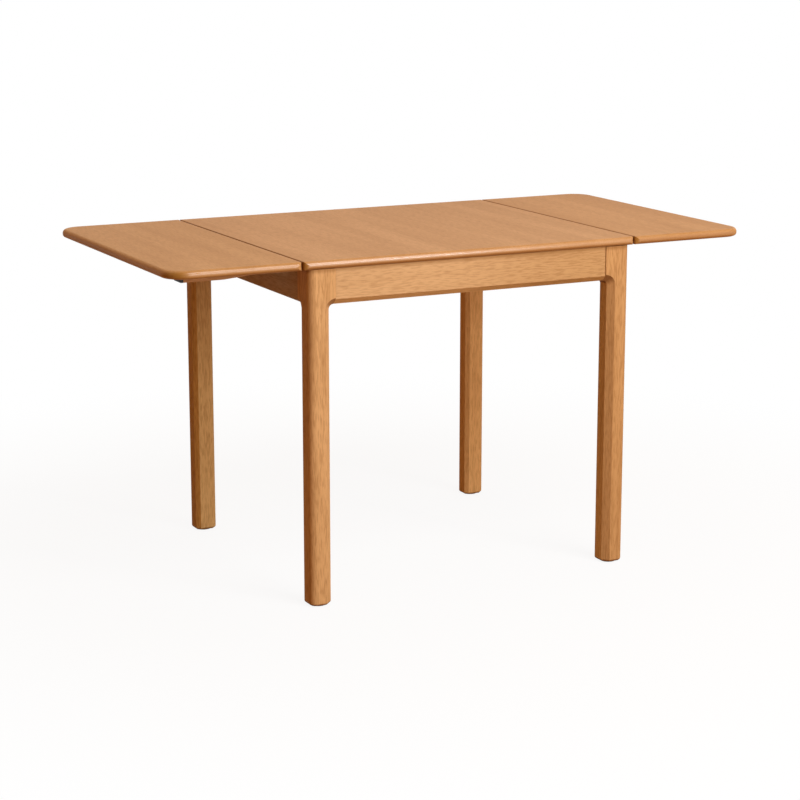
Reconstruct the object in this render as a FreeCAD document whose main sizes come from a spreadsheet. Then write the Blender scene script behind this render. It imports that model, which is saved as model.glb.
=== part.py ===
import FreeCAD, Part
import os
import Sketcher

# Butterfly leaf table: a centre top on four legs, with a drop leaf hinged to each end.
# Millimetres, origin on the floor under the centre of the top, +Z up, leaves along X.
# Pieces are drawn in the quarter where X and Y are positive and mirrored to the other three.

# Driving dimensions: name, size, meaning
SIZES = (
    ("table_height", 750, "floor to the upper face of the top"),
    ("top_width", 720, "front edge to back edge"),
    ("top_thickness", 18, "all three panels"),
    ("centre_length", 808, "seam to seam"),
    ("leaf_length", 296, "seam to the free end of a leaf"),
    ("seam_gap", 3, "slit between centre top and leaf"),
    ("top_edge_round", 9, "upper rounding of the outer edges"),
    ("bottom_edge_round", 7, "lower rounding of the outer edges"),
    ("seam_edge_ease", 1.5, "rounding of the edges along a seam"),
    ("seam_corner_round", 12, "corners at the ends of a seam, in plan"),
    ("leaf_corner_round", 50, "free corners of a leaf, in plan"),
    ("leg_section", 50, "side of the square leg"),
    ("leg_head", 61, "side of the wider block at the aprons"),
    ("leg_inset_x", 13, "seam to the leg's end face"),
    ("leg_inset_y", 2, "top's long edge to the leg's long face"),
    ("leg_outer_round", 15, "outer corner of the leg"),
    ("leg_long_chamfer", 14, "bevel round the long opening"),
    ("leg_short_chamfer", 9, "bevel round the short opening"),
    ("leg_inner_chamfer", 8.5, "innermost edge of the leg"),
    ("leg_head_flat", 15, "cut across the head's innermost corner"),
    ("foot_round", 6.5, "lower edge of the leg"),
    ("apron_height", 77, "top's underside to the apron's lower edge"),
    ("apron_thickness", 22, "long and short aprons and the rail"),
    ("long_apron_setback", 2.5, "leg's long face to the apron's face"),
    ("short_apron_setback", 6, "leg's end face to the apron's face"),
    ("groove_drop", 10, "top's underside to the clip groove"),
    ("groove_width", 3, "clip groove, up and down"),
    ("groove_depth", 8, "clip groove, into the apron"),
    ("rail_height", 60, "centre rail"),
    ("dowel_radius", 4, "dowels at legs and rail"),
    ("dowel_length", 48, "half of it in each piece"),
    ("dowel_clearance", 0.1, "round a dowel and at its ends"),
    ("dowel_low", 20, "apron's lower edge to the lower dowel"),
    ("dowel_pitch", 36, "lower dowel to upper dowel"),
    ("glide_radius", 17, "disc under a foot"),
    ("glide_thickness", 2, "floor to the end of the leg"),
    ("glide_stem_radius", 2.5, "nail of a glide"),
    ("glide_stem_length", 14, "nail of a glide"),
    ("glide_clearance", 0.05, "round the nail"),
    ("brace_gap", 30, "leg head to corner brace, along the bolt"),
    ("brace_thickness", 2, "corner brace sheet"),
    ("brace_height", 46, "corner brace"),
    ("brace_flange", 24, "brace's end along an apron"),
    ("bolt_radius", 4, "hanger bolt"),
    ("bolt_depth", 30, "hanger bolt in the leg"),
    ("bolt_clearance", 0.2, "hanger bolt in brace, washer, nut and leg"),
    ("bolt_tail", 5, "hanger bolt past its nut"),
    ("washer_radius", 9, "under the brace nut"),
    ("washer_thickness", 1.6, "under the brace nut"),
    ("nut_circumradius", 7.5, "brace nut across its corners, halved"),
    ("nut_height", 6.5, "brace nut"),
    ("clip_thickness", 2, "top clip sheet"),
    ("clip_width", 18, "top clip along the apron"),
    ("clip_tongue", 6, "clip in the groove"),
    ("clip_foot", 20, "clip under the top"),
    ("clip_stand_off", 2, "apron's face to the clip's riser"),
    ("clip_inset_x", 200, "seam to the clips on a long apron"),
    ("clip_inset_y", 230, "top's long edge to the clips on a short apron"),
    ("hinge_inset", 160, "top's long edge to the middle of a hinge"),
    ("hinge_length", 76, "along the seam"),
    ("hinge_flap", 34, "barrel's axis to the flap's edge"),
    ("hinge_plate", 1.5, "flap sheet"),
    ("hinge_barrel", 3.5, "outer radius of the knuckles"),
    ("hinge_pin", 1.5, "radius of the pin"),
    ("hinge_pin_clearance", 0.05, "pin in its knuckles"),
    ("hinge_seat", 0.3, "top's underside to the barrel"),
    ("hinge_knuckle", 30, "leaf's knuckle along the pin"),
    ("hinge_knuckle_gap", 0.5, "between knuckles"),
    ("hinge_notch", 0.8, "flap's edge to the other flap's knuckle"),
    ("hinge_screw_line", 21, "barrel's axis to the screws"),
    ("hinge_screw_pitch", 25, "screw to screw"),
    ("hinge_recess_gap", 1, "hinge flap and its screws to the recess in the short apron"),
    ("stay_pivot_inset", 9, "seam to the strut's pivot"),
    ("stay_pivot_drop", 46, "hinge axis down to the strut's pivot"),
    ("stay_length", 150, "strut's pivot to its roller"),
    ("strut_thickness", 4, "strut bar"),
    ("strut_heel", 5.5, "half the strut's width at its pivot"),
    ("strut_tip", 3.5, "half the strut's width at its roller"),
    ("stay_pin", 2, "radius of the strut's pivot pin"),
    ("stay_axle", 1.5, "radius of the roller axle"),
    ("stay_bore_clearance", 0.05, "pins in their bores"),
    ("roller_radius", 4, "roller on the track"),
    ("roller_width", 3.5, "one of two rollers"),
    ("roller_side_gap", 0.3, "strut to roller"),
    ("roller_gap", 0.3, "roller to the track's web"),
    ("axle_end", 0.8, "axle past a roller"),
    ("track_web", 1.5, "track sheet"),
    ("track_depth", 14, "track's flanges, from the leaf"),
    ("track_inner", 14.8, "between the flanges"),
    ("track_lead", 18.4, "flanges' near end to the roller at rest"),
    ("track_run_out", 16, "roller under a hanging leaf to the flanges' far end"),
    ("track_tab", 16, "track's web past its flanges"),
    ("detent_height", 1.5, "ridge that holds the roller"),
    ("detent_length", 8, "ridge along the track"),
    ("detent_gap", 0.8, "roller to the ridge"),
    ("bracket_thickness", 2, "strut's bracket"),
    ("bracket_width", 40, "bracket along the apron"),
    ("bracket_above", 26, "bracket above the pivot"),
    ("bracket_below", 9, "bracket below the pivot"),
    ("ear_radius", 6, "bracket's ears round the pivot"),
    ("ear_thickness", 1.6, "bracket's ears"),
    ("ear_gap", 0.3, "strut to ear"),
    ("bracket_screw_rise", 16, "pivot up to the bracket's screws"),
    ("bracket_screw_pitch", 26, "screw to screw"),
    ("outer_cleat_inset", 70, "top's long edge to a leaf's outer cleat"),
    ("inner_cleat_inset", 118, "top's other long edge to the inner cleat"),
    ("cleat_width", 32, "cleat under a leaf"),
    ("cleat_start", 44, "seam to the cleat's thin end"),
    ("cleat_full", 150, "seam to where the cleat is deep"),
    ("cleat_end", 239, "seam to the cleat's deep end"),
    ("cleat_thin", 8, "cleat's depth at its thin end"),
    ("cleat_deep", 17, "cleat's depth at its deep end"),
    ("cleat_cap", 9, "rubber block on the cleat's deep end"),
    ("cleat_nose", 4, "rounding of the rubber block"),
    ("bumper_inset", 36, "top's long edge to a bumper"),
    ("bumper_reach", 262, "seam to a bumper"),
    ("bumper_base", 9, "radius at the leaf"),
    ("bumper_tip", 7, "radius at the free end"),
    ("bumper_round", 2, "edge of the free end"),
    ("bumper_clearance", 12.3, "hanging leaf's bumper to the leg"),
    ("screw_head", 3.6, "radius of a wood screw's head"),
    ("screw_head_height", 2, "wood screw's head"),
    ("screw_shank", 1.9, "radius of a wood screw's shank"),
    ("screw_length", 14, "under the head"),
    ("screw_clearance", 0.2, "round the shank in sheet metal"),
)

# Places worked out from the driving dimensions
HALF_WIDTH = "(sizes.top_width / 2)"
SEAM = "(sizes.centre_length / 2)"
CENTRE_END = f"({SEAM} - sizes.seam_gap / 2)"
LEAF_START = f"({SEAM} + sizes.seam_gap / 2)"
LEAF_END = f"({SEAM} + sizes.leaf_length)"
TOP = "sizes.table_height"
UNDERSIDE = "(sizes.table_height - sizes.top_thickness)"
LEG_X = f"({SEAM} - sizes.leg_inset_x)"
LEG_Y = f"({HALF_WIDTH} - sizes.leg_inset_y)"
HEAD_X = f"({LEG_X} - sizes.leg_head)"
HEAD_Y = f"({LEG_Y} - sizes.leg_head)"
SHAFT_X = f"({LEG_X} - sizes.leg_section)"
SHAFT_Y = f"({LEG_Y} - sizes.leg_section)"
FOOT = "sizes.glide_thickness"
APRON_LOW = f"({UNDERSIDE} - sizes.apron_height)"
COVE = "(sizes.leg_head - sizes.leg_section)"
LONG_FACE = f"({LEG_Y} - sizes.long_apron_setback)"
LONG_BACK = f"({LONG_FACE} - sizes.apron_thickness)"
LONG_MIDDLE = f"({LONG_FACE} - sizes.apron_thickness / 2)"
SHORT_FACE = f"({LEG_X} - sizes.short_apron_setback)"
SHORT_BACK = f"({SHORT_FACE} - sizes.apron_thickness)"
SHORT_MIDDLE = f"({SHORT_FACE} - sizes.apron_thickness / 2)"
GROOVE_TOP = f"({UNDERSIDE} - sizes.groove_drop)"
GROOVE_LOW = f"({GROOVE_TOP} - sizes.groove_width)"
BOLT_Z = f"({APRON_LOW} + sizes.dowel_low + sizes.dowel_pitch / 2)"
FLAT_X = f"({HEAD_X} + sizes.leg_head_flat / 2)"
FLAT_Y = f"({HEAD_Y} + sizes.leg_head_flat / 2)"
DIAGONAL = "sqrt(2)"
BRACE_LINE = f"({FLAT_X} + {FLAT_Y} - sizes.brace_gap * {DIAGONAL})"
BRACE_INNER_LINE = f"({BRACE_LINE} - sizes.brace_thickness * {DIAGONAL})"
HINGE_Z = f"({UNDERSIDE} - sizes.hinge_seat - sizes.hinge_barrel)"
PIVOT_X = f"({SEAM} - sizes.stay_pivot_inset)"
PIVOT_Z = f"({HINGE_Z} - sizes.stay_pivot_drop)"
ROLLER_Z = f"({UNDERSIDE} - sizes.track_web - sizes.roller_gap - sizes.roller_radius)"
STAY_ANGLE = f"asin(({ROLLER_Z} - {PIVOT_Z}) / sizes.stay_length)"
ROLLER_X = f"({PIVOT_X} + sizes.stay_length * cos({STAY_ANGLE}))"
SCREW_HOLE = "(sizes.screw_shank + sizes.screw_clearance)"
HINGE_SCREW_X = f"({SEAM} - sizes.hinge_screw_line)"
LEAF_SCREW_X = f"({SEAM} + sizes.hinge_screw_line)"
HINGE_Y = f"({HALF_WIDTH} - sizes.hinge_inset)"
CLIP_X = f"({SEAM} - sizes.clip_inset_x)"
CLIP_Y = f"({HALF_WIDTH} - sizes.clip_inset_y)"
TRACK_START = f"({ROLLER_X} - sizes.track_lead)"
TRACK_END = f"({SEAM} + sizes.stay_pivot_drop + sizes.stay_length + sizes.track_run_out)"
BRACKET_SCREW_Z = f"({PIVOT_Z} + sizes.bracket_screw_rise)"
CLEAT_END = f"({SEAM} + sizes.cleat_end)"
CLEAT_LOW = f"({UNDERSIDE} - sizes.cleat_deep)"

ALONG_X = FreeCAD.Vector(1, 0, 0)
ALONG_Y = FreeCAD.Vector(0, 1, 0)
UP = FreeCAD.Vector(0, 0, 1)
OUTWARD_DIAGONAL = FreeCAD.Vector(1, 1, 0)
ANTICLOCKWISE = 1
CLOCKWISE = -1
TOLERANCE = 0.001

doc = FreeCAD.newDocument("butterfly_leaf_table")
sheet = doc.addObject("Spreadsheet::Sheet", "sizes")
for row, (alias, value, meaning) in enumerate(SIZES, start=1):
    sheet.set(f"A{row}", meaning)
    sheet.set(f"B{row}", str(value))
    sheet.setAlias(f"B{row}", alias)
doc.recompute()
nodes = []


def number(expression):
    """The value of an expression over the sheet."""
    return float(sheet.evalExpression(expression))


def point(*expressions):
    return FreeCAD.Vector(*[number(item) for item in expressions])


def near(first, second):
    return abs(first - second) < TOLERANCE


def node(item, label):
    """Marks a finished sub-part, whose label names its file."""
    item.Label = label
    nodes.append(item)
    return item


# Sketches and features

def new_body(name):
    return doc.addObject("PartDesign::Body", name)


def new_sketch(body, name, plane, offset):
    """A sketch on one of the body's origin planes, moved along that plane's normal."""
    sketch = body.newObject("Sketcher::SketchObject", name)
    support = [item for item in body.Origin.OriginFeatures if item.Role == plane]
    sketch.AttachmentSupport = [(support[0], "")]
    sketch.MapMode = "FlatFace"
    sketch.setExpression("AttachmentOffset.Base.z", offset)
    return sketch


def fix_point(sketch, curve, end, across, along, tag):
    """Ties a sketch point to two expressions, measured from the sketch's origin."""
    for kind, expression, axis in (("DistanceX", across, -2), ("DistanceY", along, -1)):
        if expression == "0":
            sketch.addConstraint(Sketcher.Constraint("PointOnObject", curve, end, axis))
            continue
        size = number(expression)
        index = sketch.addConstraint(Sketcher.Constraint(kind, -1, 1, curve, end, size))
        name = f"{kind}_{tag}"
        sketch.renameConstraint(index, name)
        sketch.setExpression(f"Constraints.{name}", expression)


def fix_radius(sketch, curve, radius, tag):
    index = sketch.addConstraint(Sketcher.Constraint("Radius", curve, number(radius)))
    sketch.renameConstraint(index, f"Radius_{tag}")
    sketch.setExpression(f"Constraints.Radius_{tag}", radius)


def arc_between(start, end, radius, turn):
    """The arc of less than half a circle from start to end that turns the given way."""
    chord = end - start
    middle = (start + end) * 0.5
    half = chord.Length / 2
    rise = radius - max(radius * radius - half * half, 0) ** 0.5
    outward = FreeCAD.Vector(chord.y, -chord.x, 0).normalize() * turn
    return Part.Arc(start, middle + outward * rise, end)


def draw_outline(sketch, corners, prefix=""):
    """A closed outline of (across, along) corners, with a radius and a turn where an arc leaves a corner."""
    spots = [point(corner[0], corner[1], "0") for corner in corners]
    ends = []
    for index, corner in enumerate(corners):
        start = spots[index]
        end = spots[(index + 1) % len(spots)]
        if len(corner) == 2:
            curve = sketch.addGeometry(Part.LineSegment(start, end), False)
            ends.append((curve, 1, 2))
            continue
        arc = arc_between(start, end, number(corner[2]), corner[3])
        curve = sketch.addGeometry(arc, False)
        forward = (sketch.getPoint(curve, 1) - start).Length < TOLERANCE
        ends.append((curve, 1, 2) if forward else (curve, 2, 1))
    for index, (curve, start_end, far_end) in enumerate(ends):
        next_curve, next_start, next_far = ends[(index + 1) % len(ends)]
        sketch.addConstraint(Sketcher.Constraint("Coincident", curve, far_end, next_curve, next_start))
    for index, corner in enumerate(corners):
        curve, start_end, far_end = ends[index]
        fix_point(sketch, curve, start_end, corner[0], corner[1], f"{prefix}{index}")
        if len(corner) == 4:
            fix_radius(sketch, curve, corner[2], f"{prefix}{index}")


def outline(body, name, plane, offset, *loops):
    sketch = new_sketch(body, name, plane, offset)
    for index, corners in enumerate(loops):
        draw_outline(sketch, corners, f"loop{index}_")
    return sketch


def circles(body, name, plane, offset, radius, centres):
    sketch = new_sketch(body, name, plane, offset)
    for index, (across, along) in enumerate(centres):
        shape = Part.Circle(point(across, along, "0"), UP, number(radius))
        curve = sketch.addGeometry(shape, False)
        fix_point(sketch, curve, 3, across, along, str(index))
        fix_radius(sketch, curve, radius, str(index))
    return sketch


def pad(body, sketch, length, symmetric=False):
    feature = body.newObject("PartDesign::Pad", f"{sketch.Name}_pad")
    feature.Profile = sketch
    feature.setExpression("Length", length)
    if symmetric:
        feature.SideType = "Symmetric"
    doc.recompute()
    return feature


def pocket(body, sketch, length, symmetric=False):
    """A cut against the sketch's normal, which has to take material away."""
    before = body.Shape.Volume
    feature = body.newObject("PartDesign::Pocket", f"{sketch.Name}_pocket")
    feature.Profile = sketch
    feature.setExpression("Length", length)
    if symmetric:
        feature.SideType = "Symmetric"
    doc.recompute()
    if body.Shape.Volume > before - TOLERANCE:
        raise RuntimeError(f"{sketch.Name} cuts nothing")
    return feature


def dress_edges(body, kind, size_name, size, belongs):
    """A fillet or chamfer on the edges whose end points all pass the test."""
    base = body.Tip
    names = []
    for index, edge in enumerate(base.Shape.Edges, start=1):
        if belongs([vertex.Point for vertex in edge.Vertexes]):
            names.append(f"Edge{index}")
    if not names:
        raise RuntimeError(f"{body.Name} has no edge to dress")
    feature = body.newObject(f"PartDesign::{kind}", f"{body.Name}_{kind.lower()}")
    feature.Base = (base, names)
    feature.setExpression(size_name, size)
    doc.recompute()
    return feature


def rectangle(left, right, low, high):
    return [(left, low), (right, low), (right, high), (left, high)]


def rounded_box(left, right, low, high, low_round, high_round):
    """Corners of a rectangle whose lower and upper corners are rounded."""
    return [
        (f"{left} + {low_round}", low),
        (f"{right} - {low_round}", low, low_round, ANTICLOCKWISE),
        (right, f"{low} + {low_round}"),
        (right, f"{high} - {high_round}", high_round, ANTICLOCKWISE),
        (f"{right} - {high_round}", high),
        (f"{left} + {high_round}", high, high_round, ANTICLOCKWISE),
        (left, f"{high} - {high_round}"),
        (left, f"{low} + {low_round}", low_round, ANTICLOCKWISE),
    ]


# Plain solids and their combinations

def set_place(item, place):
    for letter, expression in zip("xyz", place):
        item.setExpression(f"Placement.Base.{letter}", expression)


def cylinder(name, radius, length, place, direction):
    item = doc.addObject("Part::Cylinder", name)
    item.Placement.Rotation = FreeCAD.Rotation(UP, direction)
    item.setExpression("Radius", radius)
    item.setExpression("Height", length)
    set_place(item, place)
    return item


def box(name, length, width, height, place):
    item = doc.addObject("Part::Box", name)
    item.setExpression("Length", length)
    item.setExpression("Width", width)
    item.setExpression("Height", height)
    set_place(item, place)
    return item


def common(name, members):
    item = doc.addObject("Part::MultiCommon", name)
    item.Shapes = members
    return item


def fused(name, members):
    item = doc.addObject("Part::MultiFuse", name)
    item.Shapes = members
    item.Refine = True
    return item


def grouped(name, members):
    item = doc.addObject("Part::Compound", name)
    item.Links = members
    return item


def cut(name, base, tools):
    item = doc.addObject("Part::Cut", name)
    item.Base = base
    item.Tool = tools[0] if len(tools) == 1 else grouped(f"{name}_tools", tools)
    item.Refine = True
    return item


def mirrored(source, name, normal):
    item = doc.addObject("Part::Mirroring", name)
    item.Source = source
    item.Normal = normal
    return item


def left_and_right(source, name):
    """The right-hand piece as drawn, and its mirror image on the left."""
    node(source, f"right_{name}")
    node(mirrored(source, f"left_{name}", ALONG_X), f"left_{name}")


def half_turned(source, name):
    """The piece turned half round about the table's upright middle line."""
    return mirrored(mirrored(source, f"{name}_halfway", ALONG_X), name, ALONG_Y)


def all_corners(source, name):
    """A piece drawn at the back right corner, at all four corners."""
    node(source, f"back_right_{name}")
    back_left = node(mirrored(source, f"back_left_{name}", ALONG_X), f"back_left_{name}")
    node(mirrored(source, f"front_right_{name}", ALONG_Y), f"front_right_{name}")
    node(mirrored(back_left, f"front_left_{name}", ALONG_Y), f"front_left_{name}")


def four_fold(source, name):
    """One group of the piece and its mirror images at all four corners."""
    left = mirrored(source, f"{name}_left", ALONG_X)
    back = grouped(f"{name}_back", [source, left])
    return grouped(name, [source, left, mirrored(back, f"{name}_front", ALONG_Y)])


# Top panels

def centre_top():
    section = new_body("centre_section")
    edges = rounded_box(
        f"-{HALF_WIDTH}", HALF_WIDTH, UNDERSIDE, TOP, "sizes.bottom_edge_round", "sizes.top_edge_round")
    sketch = outline(section, "centre_section_outline", "YZ_Plane", "0", edges)
    pad(section, sketch, f"2 * {CENTRE_END}", symmetric=True)
    plan = new_body("centre_plan")
    corners = rounded_box(
        f"-{CENTRE_END}", CENTRE_END, f"-{HALF_WIDTH}", HALF_WIDTH,
        "sizes.seam_corner_round", "sizes.seam_corner_round")
    sketch = outline(plan, "centre_plan_outline", "XY_Plane", UNDERSIDE, corners)
    pad(plan, sketch, "sizes.top_thickness")
    side = new_body("centre_side")
    eased = rounded_box(
        f"-{CENTRE_END}", CENTRE_END, UNDERSIDE, TOP, "sizes.seam_edge_ease", "sizes.seam_edge_ease")
    sketch = outline(side, "centre_side_outline", "XZ_Plane", "0", eased)
    pad(side, sketch, "sizes.top_width", symmetric=True)
    node(common("centre_panel", [section, plan, side]), "centre_top")


def leaf():
    blank = new_body("leaf_blank")
    rounding = "sizes.leaf_corner_round"
    sketch = outline(blank, "leaf_outline", "XY_Plane", UNDERSIDE, [
        (LEAF_START, f"-{HALF_WIDTH}"),
        (f"{LEAF_END} - {rounding}", f"-{HALF_WIDTH}", rounding, ANTICLOCKWISE),
        (LEAF_END, f"{rounding} - {HALF_WIDTH}"),
        (LEAF_END, f"{HALF_WIDTH} - {rounding}", rounding, ANTICLOCKWISE),
        (f"{LEAF_END} - {rounding}", HALF_WIDTH),
        (LEAF_START, HALF_WIDTH),
    ])
    pad(blank, sketch, "sizes.top_thickness")
    seam_side = number(LEAF_START)
    for face, rounding in ((TOP, "sizes.top_edge_round"), (UNDERSIDE, "sizes.bottom_edge_round")):
        level = number(face)

        def free_edge(ends, level=level):
            at_level = all(near(end.z, level) for end in ends)
            return at_level and not all(near(end.x, seam_side) for end in ends)

        dress_edges(blank, "Fillet", "Radius", rounding, free_edge)
    plan = new_body("leaf_plan")
    rounding = "sizes.seam_corner_round"
    sketch = outline(plan, "leaf_plan_outline", "XY_Plane", UNDERSIDE, [
        (f"{LEAF_START} + {rounding}", f"-{HALF_WIDTH}"),
        (LEAF_END, f"-{HALF_WIDTH}"),
        (LEAF_END, HALF_WIDTH),
        (f"{LEAF_START} + {rounding}", HALF_WIDTH, rounding, ANTICLOCKWISE),
        (LEAF_START, f"{HALF_WIDTH} - {rounding}"),
        (LEAF_START, f"{rounding} - {HALF_WIDTH}", rounding, ANTICLOCKWISE),
    ])
    pad(plan, sketch, "sizes.top_thickness")
    side = new_body("leaf_side")
    ease = "sizes.seam_edge_ease"
    sketch = outline(side, "leaf_side_outline", "XZ_Plane", "0", [
        (f"{LEAF_START} + {ease}", UNDERSIDE),
        (LEAF_END, UNDERSIDE),
        (LEAF_END, TOP),
        (f"{LEAF_START} + {ease}", TOP, ease, ANTICLOCKWISE),
        (LEAF_START, f"{TOP} - {ease}"),
        (LEAF_START, f"{UNDERSIDE} + {ease}", ease, ANTICLOCKWISE),
    ])
    pad(side, sketch, "sizes.top_width", symmetric=True)
    left_and_right(common("leaf_panel", [blank, plan, side]), "leaf")


# Legs, aprons and their dowels

def dowel_places(clearance):
    """Cylinders across the joints of one leg: two into the long apron, two into the short one."""
    length = f"sizes.dowel_length + 2 * {clearance}"
    radius = f"sizes.dowel_radius + {clearance}"
    reach = f"(sizes.dowel_length / 2 + {clearance})"
    tag = "hole" if clearance != "0" else "pin"
    items = []
    for step in range(2):
        level = f"{APRON_LOW} + sizes.dowel_low + {step} * sizes.dowel_pitch"
        long_place = (f"{HEAD_X} - {reach}", LONG_MIDDLE, level)
        items.append(cylinder(f"long_dowel_{tag}_{step}", radius, length, long_place, ALONG_X))
        short_place = (SHORT_MIDDLE, f"{HEAD_Y} - {reach}", level)
        items.append(cylinder(f"short_dowel_{tag}_{step}", radius, length, short_place, ALONG_Y))
    return items


def rail_dowel_places(clearance):
    """Cylinders across the joint of the centre rail and the back apron."""
    length = f"sizes.dowel_length / 2 + 2 * {clearance}"
    radius = f"sizes.dowel_radius + {clearance}"
    reach = f"(sizes.dowel_length / 4 + {clearance})"
    tag = "hole" if clearance != "0" else "pin"
    items = []
    for step in range(2):
        level = f"{APRON_LOW} + sizes.dowel_low + {step} * sizes.dowel_pitch"
        place = ("0", f"{LONG_BACK} - {reach}", level)
        items.append(cylinder(f"rail_dowel_{tag}_{step}", radius, length, place, ALONG_Y))
    return items


def leg_blank():
    """Square shaft under a wider head, with coves, bevels and a rounded outer corner."""
    body = new_body("leg_blank")
    sketch = outline(body, "leg_front_view", "XZ_Plane", f"-{LEG_Y}", [
        (LEG_X, FOOT),
        (LEG_X, UNDERSIDE),
        (HEAD_X, UNDERSIDE),
        (HEAD_X, APRON_LOW, COVE, CLOCKWISE),
        (SHAFT_X, f"{APRON_LOW} - {COVE}"),
        (SHAFT_X, FOOT),
    ])
    sketch_pad = pad(body, sketch, "sizes.leg_head")
    if not near(sketch_pad.Shape.BoundBox.YMax, number(LEG_Y)):
        raise RuntimeError("the leg is padded the wrong way")
    sketch = outline(body, "leg_side_view", "YZ_Plane", LEG_X, [
        (SHAFT_Y, FOOT),
        (SHAFT_Y, f"{APRON_LOW} - {COVE}", COVE, ANTICLOCKWISE),
        (HEAD_Y, APRON_LOW),
        (HEAD_Y, FOOT),
    ])
    pocket(body, sketch, "sizes.leg_head")
    leg_x, leg_y = number(LEG_X), number(LEG_Y)
    shaft_x, shaft_y = number(SHAFT_X), number(SHAFT_Y)
    head_x, head_y = number(HEAD_X), number(HEAD_Y)
    low, foot = number(APRON_LOW), number(FOOT)

    def standing(ends):
        return not all(near(end.z, foot) for end in ends) and all(end.z < low + TOLERANCE for end in ends)

    def long_bevel(ends):
        return standing(ends) and all(near(end.y, leg_y) and end.x < shaft_x + TOLERANCE for end in ends)

    def short_bevel(ends):
        return standing(ends) and all(near(end.x, leg_x) and end.y < shaft_y + TOLERANCE for end in ends)

    def inner_edge(ends):
        return all(near(end.x, shaft_x) and near(end.y, shaft_y) for end in ends)

    def head_edge(ends):
        return all(near(end.x, head_x) and near(end.y, head_y) for end in ends)

    def outer_edge(ends):
        return all(near(end.x, leg_x) and near(end.y, leg_y) for end in ends)

    def foot_edge(ends):
        return all(near(end.z, foot) for end in ends)

    dress_edges(body, "Chamfer", "Size", "sizes.leg_long_chamfer", long_bevel)
    dress_edges(body, "Chamfer", "Size", "sizes.leg_short_chamfer", short_bevel)
    dress_edges(body, "Chamfer", "Size", "sizes.leg_inner_chamfer", inner_edge)
    dress_edges(body, "Chamfer", "Size", "sizes.leg_head_flat", head_edge)
    dress_edges(body, "Fillet", "Radius", "sizes.leg_outer_round", outer_edge)
    dress_edges(body, "Fillet", "Radius", "sizes.foot_round", foot_edge)
    return body


def bolt_cylinder(name, radius, start, length):
    """A cylinder along the hanger bolt, from a distance behind the leg head's flat, towards the leg."""
    shift = f"({start}) / {DIAGONAL}"
    place = (f"{FLAT_X} - {shift}", f"{FLAT_Y} - {shift}", BOLT_Z)
    return cylinder(name, radius, length, place, OUTWARD_DIAGONAL)


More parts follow.
